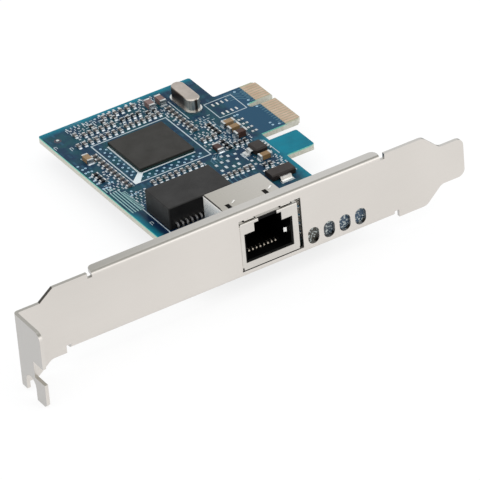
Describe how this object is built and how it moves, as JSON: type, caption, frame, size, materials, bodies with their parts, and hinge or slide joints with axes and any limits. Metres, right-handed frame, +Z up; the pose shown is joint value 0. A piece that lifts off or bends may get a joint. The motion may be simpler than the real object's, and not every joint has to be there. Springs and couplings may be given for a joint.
{
  "type": "network interface card",
  "caption": "Plug-in network card: a small board with one network socket, a controller and a keyed card edge, carried on a full-height folded steel bracket.",
  "frame": {"origin": "middle of the whole card in plan, at the level of its lowest point, which is the long leg of the bracket's mounting tab", "axes": "+X along the bracket from the mounting tab to the tongue, +Y from the bracket back along the board, +Z up from the board's component side"},
  "size_m": [0.12, 0.0898, 0.0224],
  "materials": {
    "bracket_steel": "satin plated sheet",
    "screw_steel": "plated",
    "board_mask": "glossy blue solder mask over glass fibre",
    "contact_gilt": "gilt",
    "shield_tin": "tin-plated sheet",
    "black_nylon": "moulded",
    "wire_gilt": "gilt spring wire",
    "black_epoxy": "moulded",
    "lead_tin": "tinned",
    "grey_epoxy": "moulded",
    "laminate": "laminate",
    "solder": "solder",
    "crystal_can": "drawn can",
    "tan_ceramic": "fired ceramic",
    "brown_ceramic": "fired ceramic",
    "small_ceramic": "fired ceramic",
    "resistor_glaze": "glazed",
    "white_resin": "moulded",
    "clear_resin": "clear",
    "legend_ink": "printed ink"
  },
  "bodies": {
    "root": {"bracket": "bracket_steel", "bracket_screws": "screw_steel", "circuit_board": "board_mask", "edge_contacts_top": "contact_gilt", "edge_contacts_underside": "contact_gilt", "jack_shield": "shield_tin", "jack_housing": "black_nylon", "jack_contacts": "wire_gilt", "magnetics_body": "black_epoxy", "magnetics_leads": "lead_tin", "controller_substrate": "laminate", "controller_mould": "grey_epoxy", "controller_solder_balls": "solder", "crystal_base": "crystal_can", "crystal_can": "crystal_can", "crystal_leads": "lead_tin", "regulator_body": "black_epoxy", "regulator_leads": "lead_tin", "transistor_body": "black_epoxy", "transistor_leads": "lead_tin", "tan_capacitor_bodies": "tan_ceramic", "brown_capacitor_bodies": "brown_ceramic", "large_capacitor_ends": "lead_tin", "small_capacitor_bodies": "small_ceramic", "small_capacitor_ends": "lead_tin", "resistor_bodies": "resistor_glaze", "resistor_ends": "lead_tin", "indicator_bases": "white_resin", "indicator_lenses": "clear_resin", "indicator_ends": "lead_tin", "printed_legend": "legend_ink", "bare_pads": "contact_gilt", "solder_joints": "solder"}
  },
  "joints": []
}
